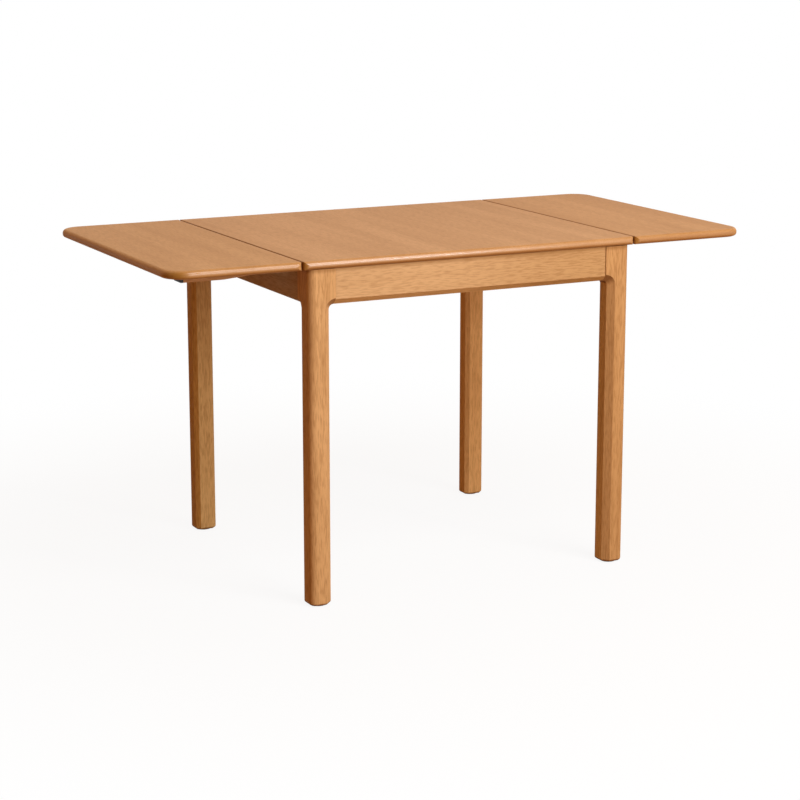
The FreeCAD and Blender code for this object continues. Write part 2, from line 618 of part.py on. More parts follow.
def legs_and_aprons():
    holes = dowel_places("sizes.dowel_clearance")
    corner_holes = grouped("corner_holes", holes)
    left_holes = mirrored(corner_holes, "left_corner_holes", ALONG_X)
    front_holes = mirrored(corner_holes, "front_corner_holes", ALONG_Y)
    rail_holes = grouped("rail_holes", rail_dowel_places("sizes.dowel_clearance"))

    bolt_hole = bolt_cylinder(
        "bolt_hole", "sizes.bolt_radius + sizes.bolt_clearance", "0", "sizes.bolt_depth + sizes.bolt_clearance")
    stem_place = (f"{LEG_X} - sizes.leg_section / 2", f"{LEG_Y} - sizes.leg_section / 2", FOOT)
    stem_hole = cylinder(
        "stem_hole", "sizes.glide_stem_radius + sizes.glide_clearance",
        "sizes.glide_stem_length + sizes.glide_clearance", stem_place, UP)
    all_corners(cut("drilled_leg", leg_blank(), [corner_holes, bolt_hole, stem_hole]), "leg")

    body = new_body("long_apron_blank")
    bevel = "(sizes.leg_long_chamfer - sizes.long_apron_setback)"
    sketch = outline(body, "long_apron_section", "YZ_Plane", "0", [
        (LONG_BACK, APRON_LOW),
        (f"{LONG_FACE} - {bevel}", APRON_LOW),
        (LONG_FACE, f"{APRON_LOW} + {bevel}"),
        (LONG_FACE, UNDERSIDE),
        (LONG_BACK, UNDERSIDE),
        (LONG_BACK, GROOVE_TOP),
        (f"{LONG_BACK} + sizes.groove_depth", GROOVE_TOP),
        (f"{LONG_BACK} + sizes.groove_depth", GROOVE_LOW),
        (LONG_BACK, GROOVE_LOW),
    ])
    pad(body, sketch, f"2 * {HEAD_X}", symmetric=True)
    back_apron = node(cut("long_apron", body, [corner_holes, left_holes, rail_holes]), "back_apron")
    node(mirrored(back_apron, "front_long_apron", ALONG_Y), "front_apron")

    body = new_body("short_apron_blank")
    bevel = "(sizes.leg_short_chamfer - sizes.short_apron_setback)"
    sketch = outline(body, "short_apron_section", "XZ_Plane", "0", [
        (SHORT_BACK, APRON_LOW),
        (f"{SHORT_FACE} - {bevel}", APRON_LOW),
        (SHORT_FACE, f"{APRON_LOW} + {bevel}"),
        (SHORT_FACE, UNDERSIDE),
        (SHORT_BACK, UNDERSIDE),
        (SHORT_BACK, GROOVE_TOP),
        (f"{SHORT_BACK} + sizes.groove_depth", GROOVE_TOP),
        (f"{SHORT_BACK} + sizes.groove_depth", GROOVE_LOW),
        (SHORT_BACK, GROOVE_LOW),
    ])
    pad(body, sketch, f"2 * {HEAD_Y}", symmetric=True)
    reach = "(sizes.hinge_length / 2 + sizes.hinge_recess_gap)"
    depth = "(sizes.hinge_plate + sizes.screw_head_height + sizes.hinge_recess_gap)"
    floor = f"{UNDERSIDE} - {depth}"
    recesses = []
    for middle in (HINGE_Y, f"-{HINGE_Y}"):
        recesses.append(rectangle(f"{middle} - {reach}", f"{middle} + {reach}", floor, UNDERSIDE))
    pocket(body, outline(body, "hinge_recesses", "YZ_Plane", SHORT_FACE, *recesses), "sizes.apron_thickness")
    left_and_right(cut("short_apron", body, [corner_holes, front_holes]), "apron")

    place = ("-sizes.apron_thickness / 2", f"-{LONG_BACK}", f"{UNDERSIDE} - sizes.rail_height")
    bar = box("rail_bar", "sizes.apron_thickness", f"2 * {LONG_BACK}", "sizes.rail_height", place)
    front_rail_holes = mirrored(rail_holes, "front_rail_holes", ALONG_Y)
    node(cut("cross_rail", bar, [rail_holes, front_rail_holes]), "centre_rail")

    corner_pins = grouped("corner_pins", dowel_places("0"))
    rail_pins = grouped("rail_pins", rail_dowel_places("0"))
    front_rail_pins = mirrored(rail_pins, "front_rail_pins", ALONG_Y)
    node(grouped("dowel_set", [four_fold(corner_pins, "leg_pins"), rail_pins, front_rail_pins]), "apron_dowels")

    disc_place = (stem_place[0], stem_place[1], "0")
    disc = cylinder("glide_disc", "sizes.glide_radius", FOOT, disc_place, UP)
    stem_length = f"{FOOT} + sizes.glide_stem_length"
    stem = cylinder("glide_stem", "sizes.glide_stem_radius", stem_length, disc_place, UP)
    all_corners(fused("glide", [disc, stem]), "foot_glide")


# Corner braces and top clips

def corner_braces():
    body = new_body("brace_sheet")
    sheet_gauge = "sizes.brace_thickness"
    long_end = f"({BRACE_LINE} - {LONG_BACK})"
    short_end = f"({BRACE_LINE} - {SHORT_BACK})"
    low = f"{BOLT_Z} - sizes.brace_height / 2"
    sketch = outline(body, "brace_outline", "XY_Plane", low, [
        (f"{long_end} - sizes.brace_flange", LONG_BACK),
        (long_end, LONG_BACK),
        (SHORT_BACK, short_end),
        (SHORT_BACK, f"{short_end} - sizes.brace_flange"),
        (f"{SHORT_BACK} - {sheet_gauge}", f"{short_end} - sizes.brace_flange"),
        (f"{SHORT_BACK} - {sheet_gauge}", f"{BRACE_INNER_LINE} - {SHORT_BACK} + {sheet_gauge}"),
        (f"{BRACE_INNER_LINE} - {LONG_BACK} + {sheet_gauge}", f"{LONG_BACK} - {sheet_gauge}"),
        (f"{long_end} - sizes.brace_flange", f"{LONG_BACK} - {sheet_gauge}"),
    ])
    pad(body, sketch, "sizes.brace_height")
    hole_radius = "sizes.bolt_radius + sizes.bolt_clearance"
    bolt_hole = bolt_cylinder(
        "brace_bolt_hole", hole_radius, f"sizes.brace_gap + 2 * {sheet_gauge}", f"3 * {sheet_gauge}")
    long_hole = cylinder(
        "brace_long_screw_hole", SCREW_HOLE, sheet_gauge,
        (f"{long_end} - sizes.brace_flange / 2", f"{LONG_BACK} - {sheet_gauge}", BOLT_Z), ALONG_Y)
    short_hole = cylinder(
        "brace_short_screw_hole", SCREW_HOLE, sheet_gauge,
        (f"{SHORT_BACK} - {sheet_gauge}", f"{short_end} - sizes.brace_flange / 2", BOLT_Z), ALONG_X)
    all_corners(cut("brace", body, [bolt_hole, long_hole, short_hole]), "corner_brace")

    nut_face = f"sizes.brace_gap + {sheet_gauge} + sizes.washer_thickness + sizes.nut_height"
    bolt_start = f"{nut_face} + sizes.bolt_tail"
    bolt = bolt_cylinder("bolt", "sizes.bolt_radius", bolt_start, f"{bolt_start} + sizes.bolt_depth")
    node(four_fold(bolt, "bolt_set"), "hanger_bolts")
    washer_start = f"sizes.brace_gap + {sheet_gauge} + sizes.washer_thickness"
    disc = bolt_cylinder("washer_disc", "sizes.washer_radius", washer_start, "sizes.washer_thickness")
    bore = bolt_cylinder("washer_bore", hole_radius, washer_start, "sizes.washer_thickness")
    node(four_fold(cut("washer", disc, [bore]), "washer_set"), "brace_washers")
    hexagon = doc.addObject("Part::Prism", "nut_hexagon")
    hexagon.Polygon = 6
    hexagon.setExpression("Circumradius", "sizes.nut_circumradius")
    hexagon.setExpression("Height", "sizes.nut_height")
    hexagon.Placement.Rotation = FreeCAD.Rotation(UP, OUTWARD_DIAGONAL)
    shift = f"({nut_face}) / {DIAGONAL}"
    set_place(hexagon, (f"{FLAT_X} - {shift}", f"{FLAT_Y} - {shift}", BOLT_Z))
    bore = bolt_cylinder("nut_bore", hole_radius, nut_face, "sizes.nut_height")
    node(four_fold(cut("nut", hexagon, [bore]), "nut_set"), "brace_nuts")


def clip_section(face):
    """A clip's Z-shaped section: tongue in the apron's groove, foot under the top."""
    gauge = "sizes.clip_thickness"
    tongue_top = f"({GROOVE_TOP} - (sizes.groove_width - {gauge}) / 2)"
    riser = f"({face} - sizes.clip_stand_off)"
    return [
        (f"{face} + sizes.clip_tongue", f"{tongue_top} - {gauge}"),
        (f"{face} + sizes.clip_tongue", tongue_top),
        (riser, tongue_top),
        (riser, UNDERSIDE),
        (f"{riser} - {gauge} - sizes.clip_foot", UNDERSIDE),
        (f"{riser} - {gauge} - sizes.clip_foot", f"{UNDERSIDE} - {gauge}"),
        (f"{riser} - {gauge}", f"{UNDERSIDE} - {gauge}"),
        (f"{riser} - {gauge}", f"{tongue_top} - {gauge}"),
    ]


def clip_screw(face):
    return f"({face} - sizes.clip_stand_off - sizes.clip_thickness - sizes.clip_foot / 2)"


def top_clips():
    long_clip = new_body("long_apron_clip")
    sketch = outline(long_clip, "long_clip_section", "YZ_Plane", CLIP_X, clip_section(LONG_BACK))
    pad(long_clip, sketch, "sizes.clip_width", symmetric=True)
    centre = [(CLIP_X, clip_screw(LONG_BACK))]
    sketch = circles(long_clip, "long_clip_hole", "XY_Plane", UNDERSIDE, SCREW_HOLE, centre)
    pocket(long_clip, sketch, "sizes.clip_thickness")
    short_clip = new_body("short_apron_clip")
    section = clip_section(SHORT_BACK)
    sketch = outline(short_clip, "short_clip_section", "XZ_Plane", f"-{CLIP_Y}", section)
    pad(short_clip, sketch, "sizes.clip_width", symmetric=True)
    centre = [(clip_screw(SHORT_BACK), CLIP_Y)]
    sketch = circles(short_clip, "short_clip_hole", "XY_Plane", UNDERSIDE, SCREW_HOLE, centre)
    pocket(short_clip, sketch, "sizes.clip_thickness")
    pair = grouped("clip_pair", [long_clip, short_clip])
    node(four_fold(pair, "clip_set"), "top_clips")


# Hinges

def hinge_flap(name, direction, open_spans):
    """A flap with its barrel. The open spans along the pin are left to the other flap's knuckles."""
    body = new_body(name)
    plane = "XZ_Plane"
    at_hinge = f"-{HINGE_Y}"
    sketch = circles(body, f"{name}_barrel", plane, at_hinge, "sizes.hinge_barrel", [(SEAM, HINGE_Z)])
    pad(body, sketch, "sizes.hinge_length", symmetric=True)
    edge = f"{SEAM} {direction} sizes.hinge_flap"
    plate = rectangle(SEAM, edge, f"{UNDERSIDE} - sizes.hinge_plate", UNDERSIDE)
    pad(body, outline(body, f"{name}_plate", plane, at_hinge, plate), "sizes.hinge_length", symmetric=True)
    bore = "sizes.hinge_pin + sizes.hinge_pin_clearance"
    sketch = circles(body, f"{name}_bore", plane, at_hinge, bore, [(SEAM, HINGE_Z)])
    pocket(body, sketch, "sizes.hinge_length", symmetric=True)
    past_barrel = "(sizes.hinge_barrel + sizes.hinge_notch)"
    spans = []
    for low, high in open_spans:
        spans.append(rectangle(f"{SEAM} - {past_barrel}", f"{SEAM} + {past_barrel}", low, high))
    sketch = outline(body, f"{name}_notches", "XY_Plane", UNDERSIDE, *spans)
    pocket(body, sketch, "sizes.hinge_seat + 2 * sizes.hinge_barrel + sizes.hinge_plate")
    centres = []
    for step in (-1, 0, 1):
        across = f"{SEAM} {direction} sizes.hinge_screw_line"
        centres.append((across, f"{HINGE_Y} + {step} * sizes.hinge_screw_pitch"))
    sketch = circles(body, f"{name}_screw_holes", "XY_Plane", UNDERSIDE, SCREW_HOLE, centres)
    pocket(body, sketch, "sizes.hinge_plate")
    return body


def hinges():
    middle_low = f"{HINGE_Y} - sizes.hinge_knuckle / 2"
    middle_high = f"{HINGE_Y} + sizes.hinge_knuckle / 2"
    half_gap = "sizes.hinge_knuckle_gap / 2"
    start = f"{HINGE_Y} - sizes.hinge_length / 2"
    end = f"{HINGE_Y} + sizes.hinge_length / 2"
    top_spans = [(f"{middle_low} - {half_gap}", f"{middle_high} + {half_gap}")]
    leaf_spans = [(start, f"{middle_low} + {half_gap}"), (f"{middle_high} - {half_gap}", end)]
    all_corners(hinge_flap("top_flap", "-", top_spans), "hinge_top_flap")
    all_corners(hinge_flap("leaf_flap", "+", leaf_spans), "hinge_leaf_flap")
    pin = cylinder("knuckle_pin", "sizes.hinge_pin", "sizes.hinge_length", (SEAM, start, HINGE_Z), ALONG_Y)
    all_corners(pin, "hinge_pin")


# Folding stay under a leaf

def stay_bracket():
    body = new_body("bracket")
    outer = f"({SHORT_FACE} + sizes.bracket_thickness)"
    plate = rectangle(
        SHORT_FACE, outer, f"{PIVOT_Z} - sizes.bracket_below", f"{PIVOT_Z} + sizes.bracket_above")
    pad(body, outline(body, "bracket_plate", "XZ_Plane", "0", plate), "sizes.bracket_width", symmetric=True)
    ear = [
        (outer, f"{PIVOT_Z} - sizes.ear_radius"),
        (PIVOT_X, f"{PIVOT_Z} - sizes.ear_radius", "sizes.ear_radius", ANTICLOCKWISE),
        (f"{PIVOT_X} + sizes.ear_radius", PIVOT_Z, "sizes.ear_radius", ANTICLOCKWISE),
        (PIVOT_X, f"{PIVOT_Z} + sizes.ear_radius"),
        (outer, f"{PIVOT_Z} + sizes.ear_radius"),
    ]
    inside = "(sizes.strut_thickness / 2 + sizes.ear_gap)"
    pad(body, outline(body, "front_ear", "XZ_Plane", inside, ear), "sizes.ear_thickness")
    back_ear = f"-({inside} + sizes.ear_thickness)"
    pad(body, outline(body, "back_ear", "XZ_Plane", back_ear, ear), "sizes.ear_thickness")
    bore = "sizes.stay_pin + sizes.stay_bore_clearance"
    sketch = circles(body, "bracket_bore", "XZ_Plane", "0", bore, [(PIVOT_X, PIVOT_Z)])
    pocket(body, sketch, "sizes.bracket_width", symmetric=True)
    centres = [(f"{side} * sizes.bracket_screw_pitch / 2", BRACKET_SCREW_Z) for side in (-1, 1)]
    sketch = circles(body, "bracket_screw_holes", "YZ_Plane", outer, SCREW_HOLE, centres)
    pocket(body, sketch, "sizes.bracket_thickness")
    left_and_right(body, "stay_bracket")


def stay_strut():
    """A tapered bar drawn along X from its pivot, then set at the angle at which it props the leaf."""
    body = new_body("strut")
    bar = [
        ("0", "-sizes.strut_heel"),
        ("sizes.stay_length", "-sizes.strut_tip", "sizes.strut_tip", ANTICLOCKWISE),
        ("sizes.stay_length + sizes.strut_tip", "0", "sizes.strut_tip", ANTICLOCKWISE),
        ("sizes.stay_length", "sizes.strut_tip"),
        ("0", "sizes.strut_heel", "sizes.strut_heel", ANTICLOCKWISE),
        ("-sizes.strut_heel", "0", "sizes.strut_heel", ANTICLOCKWISE),
    ]
    pad(body, outline(body, "strut_bar", "XZ_Plane", "0", bar), "sizes.strut_thickness", symmetric=True)
    bores = (("heel_bore", "sizes.stay_pin", "0"), ("tip_bore", "sizes.stay_axle", "sizes.stay_length"))
    for name, radius, along in bores:
        bore = f"{radius} + sizes.stay_bore_clearance"
        sketch = circles(body, name, "XZ_Plane", "0", bore, [(along, "0")])
        pocket(body, sketch, "sizes.strut_thickness", symmetric=True)
    body.Placement = FreeCAD.Placement(FreeCAD.Vector(), FreeCAD.Rotation(FreeCAD.Vector(0, -1, 0), 1))
    set_place(body, (PIVOT_X, "0", PIVOT_Z))
    body.setExpression("Placement.Rotation.Angle", STAY_ANGLE)
    left_and_right(body, "stay_strut")

    pin_half = "(sizes.strut_thickness / 2 + sizes.ear_gap + sizes.ear_thickness + sizes.axle_end)"
    place = (PIVOT_X, f"-{pin_half}", PIVOT_Z)
    pin = cylinder("strut_pin", "sizes.stay_pin", f"2 * {pin_half}", place, ALONG_Y)
    left_and_right(pin, "stay_pivot_pin")
    inside = "(sizes.strut_thickness / 2 + sizes.roller_side_gap)"
    axle_half = f"({inside} + sizes.roller_width + sizes.axle_end)"
    place = (ROLLER_X, f"-{axle_half}", ROLLER_Z)
    axle = cylinder("tip_axle", "sizes.stay_axle", f"2 * {axle_half}", place, ALONG_Y)
    left_and_right(axle, "stay_roller_axle")
    place = (ROLLER_X, inside, ROLLER_Z)
    wheel = cylinder("roller_wheel", "sizes.roller_radius", "sizes.roller_width", place, ALONG_Y)
    bore_radius = "sizes.stay_axle + sizes.stay_bore_clearance"
    bore = cylinder("roller_bore", bore_radius, "sizes.roller_width", place, ALONG_Y)
    roller = cut("roller", wheel, [bore])
    pair = grouped("roller_pair", [roller, mirrored(roller, "front_roller", ALONG_Y)])
    left_and_right(pair, "stay_rollers")


def stay_track():
    """A channel under the leaf, with a tab at each end and a ridge that stops the roller."""
    body = new_body("track")
    inner = "(sizes.track_inner / 2)"
    outer = f"({inner} + sizes.track_web)"
    web = f"({UNDERSIDE} - sizes.track_web)"
    lip = f"({UNDERSIDE} - sizes.track_depth)"
    channel = [
        (f"-{outer}", UNDERSIDE),
        (f"-{outer}", lip),
        (f"-{inner}", lip),
        (f"-{inner}", web),
        (inner, web),
        (inner, lip),
        (outer, lip),
        (outer, UNDERSIDE),
    ]
    pad(body, outline(body, "track_channel", "YZ_Plane", TRACK_START, channel), f"{TRACK_END} - {TRACK_START}")
    tabs = rectangle(f"{TRACK_START} - sizes.track_tab", f"{TRACK_END} + sizes.track_tab", f"-{inner}", inner)
    pad(body, outline(body, "track_tabs", "XY_Plane", web, tabs), "sizes.track_web")
    ridge_start = f"({ROLLER_X} + sizes.roller_radius + sizes.detent_gap)"
    ridge = [
        (ridge_start, web),
        (f"{ridge_start} + sizes.detent_length", web),
        (f"{ridge_start} + sizes.detent_length / 2", f"{web} - sizes.detent_height"),
    ]
    pad(body, outline(body, "track_ridge", "XZ_Plane", "0", ridge), "sizes.track_inner", symmetric=True)
    centres = [(f"{TRACK_START} - sizes.track_tab / 2", "0"), (f"{TRACK_END} + sizes.track_tab / 2", "0")]
    sketch = circles(body, "track_screw_holes", "XY_Plane", UNDERSIDE, SCREW_HOLE, centres)
    pocket(body, sketch, "sizes.track_web")
    left_and_right(body, "stay_track")


# Cleats and bumpers under a leaf

def leaf_cleats():
    """A leaf's outer and inner cleat. The other leaf is the same piece of work turned half round."""
    cleats = []
    for name, inset in (("outer_cleat", "sizes.outer_cleat_inset"), ("inner_cleat", "sizes.inner_cleat_inset")):
        body = new_body(name)
        start = f"({SEAM} + sizes.cleat_start)"
        sketch = outline(body, f"{name}_side", "XZ_Plane", f"{inset} - {HALF_WIDTH}", [
            (start, UNDERSIDE),
            (start, f"{UNDERSIDE} - sizes.cleat_thin"),
            (f"{SEAM} + sizes.cleat_full", CLEAT_LOW),
            (CLEAT_END, CLEAT_LOW),
            (CLEAT_END, UNDERSIDE),
        ])
        pad(body, sketch, "sizes.cleat_width")
        cleats.append(body)
    outer, inner = cleats
    node(outer, "back_right_leaf_cleat")
    node(half_turned(outer, "front_left_leaf_cleat"), "front_left_leaf_cleat")
    node(mirrored(inner, "front_right_leaf_cleat", ALONG_Y), "front_right_leaf_cleat")
    node(mirrored(inner, "back_left_leaf_cleat", ALONG_X), "back_left_leaf_cleat")


def cleat_cap(name, inset):
    """A rubber block on a cleat's deep end, rounded at its lower free edge."""
    body = new_body(name)
    end = f"({CLEAT_END} + sizes.cleat_cap)"
    sketch = outline(body, f"{name}_side", "XZ_Plane", f"{inset} - {HALF_WIDTH}", [
        (CLEAT_END, UNDERSIDE),
        (CLEAT_END, CLEAT_LOW),
        (f"{end} - sizes.cleat_nose", CLEAT_LOW, "sizes.cleat_nose", ANTICLOCKWISE),
        (end, f"{CLEAT_LOW} + sizes.cleat_nose"),
        (end, UNDERSIDE),
    ])
    pad(body, sketch, "sizes.cleat_width")
    return body


def leaf_bumpers():
    """The caps of a leaf's cleats, and studs that meet the legs if a hanging leaf is pushed inwards."""
    body = new_body("bumper")
    height = "(sizes.leg_inset_x + sizes.hinge_seat + sizes.hinge_barrel - sizes.bumper_clearance)"
    rounding = "sizes.bumper_round"
    sketch = outline(body, "bumper_profile", "XZ_Plane", "0", [
        ("0", "0"),
        ("0", f"-{height}"),
        (f"sizes.bumper_tip - {rounding}", f"-{height}", rounding, ANTICLOCKWISE),
        ("sizes.bumper_tip", f"{rounding} - {height}"),
        ("sizes.bumper_base", "0"),
    ])
    turned = body.newObject("PartDesign::Revolution", "bumper_turned")
    turned.Profile = sketch
    turned.ReferenceAxis = (sketch, ["V_Axis"])
    turned.Angle = 360
    doc.recompute()
    set_place(body, (f"{SEAM} + sizes.bumper_reach", f"{HALF_WIDTH} - sizes.bumper_inset", UNDERSIDE))
    outer = cleat_cap("outer_cap", "sizes.outer_cleat_inset")
    inner = mirrored(cleat_cap("inner_cap", "sizes.inner_cleat_inset"), "front_inner_cap", ALONG_Y)
    group = grouped("bumper_group", [body, mirrored(body, "front_bumper", ALONG_Y), outer, inner])
    node(group, "right_leaf_bumpers")
    node(half_turned(group, "left_leaf_bumpers"), "left_leaf_bumpers")


# Wood screws

def screw(name, place, direction):
    """A plain pan-head screw whose head bears at the place and whose shank points along the direction."""
    shank = cylinder(f"{name}_shank", "sizes.screw_shank", "sizes.screw_length", place, direction)
    head = cylinder(f"{name}_head", "sizes.screw_head", "sizes.screw_head_height", place, -direction)
    return fused(name, [head, shank])


def wood_screws():
    under_flap = f"{UNDERSIDE} - sizes.hinge_plate"
    under_clip = f"{UNDERSIDE} - sizes.clip_thickness"
    under_track = f"{UNDERSIDE} - sizes.track_web"
    into_top = [
        screw("long_clip_screw", (CLIP_X, clip_screw(LONG_BACK), under_clip), UP),
        screw("short_clip_screw", (clip_screw(SHORT_BACK), CLIP_Y, under_clip), UP),
    ]
    into_leaf = []
    for step in range(3):
        along = f"{HINGE_Y} + {step - 1} * sizes.hinge_screw_pitch"
        into_top.append(screw(f"top_flap_screw_{step}", (HINGE_SCREW_X, along, under_flap), UP))
        into_leaf.append(screw(f"leaf_flap_screw_{step}", (LEAF_SCREW_X, along, under_flap), UP))
    half_flange = "sizes.brace_flange / 2"
    under_brace = "sizes.brace_thickness"
    long_place = (f"{BRACE_LINE} - {LONG_BACK} - {half_flange}", f"{LONG_BACK} - {under_brace}", BOLT_Z)
    short_place = (f"{SHORT_BACK} - {under_brace}", f"{BRACE_LINE} - {SHORT_BACK} - {half_flange}", BOLT_Z)
    bracket_place = (
        f"{SHORT_FACE} + sizes.bracket_thickness", "sizes.bracket_screw_pitch / 2", BRACKET_SCREW_Z)
    into_aprons = [
        screw("long_brace_screw", long_place, ALONG_Y),
        screw("short_brace_screw", short_place, ALONG_X),
        screw("bracket_screw", bracket_place, -ALONG_X),
    ]
    near_place = (f"{TRACK_START} - sizes.track_tab / 2", "0", under_track)
    far_place = (f"{TRACK_END} + sizes.track_tab / 2", "0", under_track)
    node(four_fold(grouped("top_screw_set", into_top), "top_screw_group"), "top_screws")
    node(four_fold(grouped("apron_screw_set", into_aprons), "apron_screw_group"), "apron_screws")
    back_screws = grouped("back_leaf_screws", into_leaf)
    leaf_group = grouped("leaf_screw_group", [
        back_screws,
        mirrored(back_screws, "front_leaf_screws", ALONG_Y),
        screw("near_track_screw", near_place, UP),
        screw("far_track_screw", far_place, UP),
    ])
    left_and_right(leaf_group, "leaf_screws")


def check_and_export():
    """Writes one file per node once every object and every shape has proved sound."""
    doc.recompute()
    failed = [item.Name for item in doc.Objects if "Invalid" in item.State or "Error" in item.State]
    if failed:
        raise RuntimeError(f"failed objects: {failed}")
    for item in nodes:
        if item.Shape.isNull() or not item.Shape.isValid() or not item.Shape.Solids:
            raise RuntimeError(f"{item.Label} has no sound shape")
    os.makedirs("parts", exist_ok=True)
    for item in nodes:
        item.Shape.exportStep(os.path.join("parts", f"{item.Label}.step"))
    print(f"{len(nodes)} nodes, {sum(len(item.Shape.Solids) for item in nodes)} solids")
    stay_turn = number(STAY_ANGLE) + 90 - number(
        f"asin((sizes.stay_pivot_inset - ({HINGE_Z} - {ROLLER_Z})) / sizes.stay_length)")
    print(f"hinge axis {number(SEAM):.3f}, {number(HINGE_Z):.3f}")
    print(f"stay pivot {number(PIVOT_X):.3f}, {number(PIVOT_Z):.3f}")
    print(f"the stay turns {stay_turn:.4f} degrees while the leaf drops 90")


centre_top()
leaf()
legs_and_aprons()
corner_braces()
top_clips()
hinges()
stay_bracket()
stay_strut()
stay_track()
leaf_cleats()
leaf_bumpers()
wood_screws()
check_and_export()
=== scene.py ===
import math

import bpy
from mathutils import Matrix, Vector

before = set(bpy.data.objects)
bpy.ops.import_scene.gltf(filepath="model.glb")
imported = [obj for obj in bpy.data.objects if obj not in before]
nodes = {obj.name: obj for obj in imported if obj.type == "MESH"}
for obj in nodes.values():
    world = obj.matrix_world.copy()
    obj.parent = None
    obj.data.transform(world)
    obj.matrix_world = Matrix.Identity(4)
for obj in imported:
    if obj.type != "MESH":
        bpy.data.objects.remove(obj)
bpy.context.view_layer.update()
scene = bpy.context.scene

# Names in the part

CORNERS = ("front_left", "front_right", "back_left", "back_right")
SIDES = ("left", "right")

# Places on the part that its materials follow, in metres

SEAM_X = 0.404
# Heights of the band of painted shadow under the top
SHADOW_BAND_LOW_Z = 0.721
SHADOW_BAND_HIGH_Z = 0.731
# Stretch over which painted shade darkens the front apron toward its right end
APRON_SHADE_START_X = -0.15
APRON_SHADE_FULL_X = 0.30
# Reach of the painted shade in corners between pieces
CORNER_SHADE_REACH = 0.012

# Turns of the coordinates that bring X along the grain

ALONG_X = (0.0, 0.0, 0.0)
ALONG_Y = (0.0, 0.0, math.radians(-90.0))
ALONG_Z = (0.0, math.radians(90.0), 0.0)

# Layers of the grain: how dense the noise is along the grain and, twice, across it

BROAD_DENSITY = (1.1, 12.0, 12.0)
FIGURE_DENSITY = (3.0, 70.0, 70.0)
FINE_DENSITY = (40.0, 340.0, 340.0)
PORE_DENSITY = (45.0, 900.0, 900.0)

# Strength of streaks and of flecks in each kind of board

PLAIN_GRAIN = (0.35, 0.40)
TOP_GRAIN = (0.18, 0.34)
LONG_APRON_GRAIN = (0.22, 0.50)
LEG_GRAIN = (0.45, 0.55)
PORES_TO_FLECKS = 0.6

# Colours of the wood

LIGHT_OAK = (0.720, 0.430, 0.225)
MIDDLE_OAK = (0.640, 0.370, 0.185)
DARK_OAK = (0.460, 0.240, 0.105)
# The pore colour serves both as the pores and as painted shade
PORE_AND_SHADE_OAK = (0.300, 0.140, 0.055)
# The rim and seam colours are painted shade on the tops' rims and in their seams
RIM_SHADE_OAK = (0.480, 0.222, 0.055)
SEAM_SHADE_OAK = (0.280, 0.105, 0.025)
CORNER_OAK = (0.390, 0.185, 0.035)

# Tones of the boards: factors of red, green and blue

EVEN_TONE = (1.0, 1.0, 1.0)
TOP_TONE = {"left": (0.92, 0.90, 0.79), "centre": (0.95, 0.94, 0.88), "right": (0.94, 0.91, 0.81)}
# The back right leg's tone is raised, as painted light that stands in for light the back of the table lacks
LEG_TONE = {
    "front_left": (1.00, 1.00, 0.87), "front_right": (0.87, 0.82, 0.66),
    "back_left": (0.97, 1.04, 0.83), "back_right": (1.26, 1.28, 1.03)}
LONG_APRON_TONE = (1.04, 1.12, 1.12)
SHORT_APRON_TONE = (0.80, 0.92, 0.98)
# Tone of the painted shade at the front apron's right end
FRONT_APRON_SHADED_END_TONE = (0.82, 0.765, 0.67)
# Tone of the painted shadow under the top on the front apron
FRONT_APRON_SHADOW_BAND_TONE = (0.96, 0.97, 0.78)
CLEAT_TONE = (0.85, 0.80, 0.72)

# Faces toned apart from the rest of their piece as painted light and shade, to meet the photo: where they
# look, how nearly, and factors

LEG_FACE_LIGHT_AND_SHADE = {
    "front_right": ((-1.0, 0.0, 0.0), 0.98, (1.45, 1.80, 2.24)),
    "back_left": ((-0.92, -0.38, 0.0), 0.90, (0.90, 0.76, 0.52))}
FRONT_APRON_BEVEL_SHADE = ((0.0, -0.71, -0.71), 0.98, (0.98, 0.92, 0.77))
FACE_BLEND = 0.06

# Rims of the tops: how much they shine, and the Z of the normal below which painted shade makes them darker

TOP_RIM = {"left": (0.42, 0.25), "centre": (0.62, 0.32), "right": (0.40, 0.95)}

# Floor and surroundings, in metres and linear colours

WHITE = (1.0, 1.0, 1.0)
FLOOR_HALF_WIDTH = 14.0
FLOOR_LEVEL = -0.0004
FLOOR_WHITE = (0.95, 0.95, 0.95)
FLOOR_BOUNCE = (0.38, 0.21, 0.09)
WORLD_DIM = (0.31, 0.152, 0.050)
WORLD_BRIGHT = (0.85, 0.66, 0.48)
BRIGHT_SIDE = (0.55, 0.83, 0.0)

# The floor glows, a little less round the table so that the shadow shows: two distances and a share

SHADOW_NEAR = 0.7
SHADOW_FAR = 2.0
SHADOW_GLOW = 0.91


# Node trees

def new_material(name):
    """A new material with its tree and principled shader."""
    material = bpy.data.materials.new(name)
    material.use_nodes = True
    tree = material.node_tree
    shader = tree.nodes["Principled BSDF"]
    return material, tree, shader


def coordinates(tree, kind):
    """Texture coordinates of one kind, such as Object or Normal."""
    return tree.nodes.new("ShaderNodeTexCoord").outputs[kind]


def grain_coordinates(tree, turn=ALONG_X, shift=(0.0, 0.0, 0.0)):
    """The piece's own coordinates in metres, turned so that X runs along the grain."""
    mapping = tree.nodes.new("ShaderNodeMapping")
    mapping.inputs["Location"].default_value = shift
    mapping.inputs["Rotation"].default_value = turn
    tree.links.new(coordinates(tree, "Object"), mapping.inputs["Vector"])
    return mapping.outputs["Vector"]


def axis_values(tree, kind):
    """X, Y and Z of the piece's own Object place or Normal."""
    parts = tree.nodes.new("ShaderNodeSeparateXYZ")
    tree.links.new(coordinates(tree, kind), parts.inputs["Vector"])
    return parts.outputs


def vector_math(tree, operation, vector, other=(0.0, 0.0, 0.0)):
    """The outputs of a vector math node on a socket and a plain vector."""
    node = tree.nodes.new("ShaderNodeVectorMath")
    node.operation = operation
    node.inputs[1].default_value = other
    tree.links.new(vector, node.inputs[0])
    return node.outputs


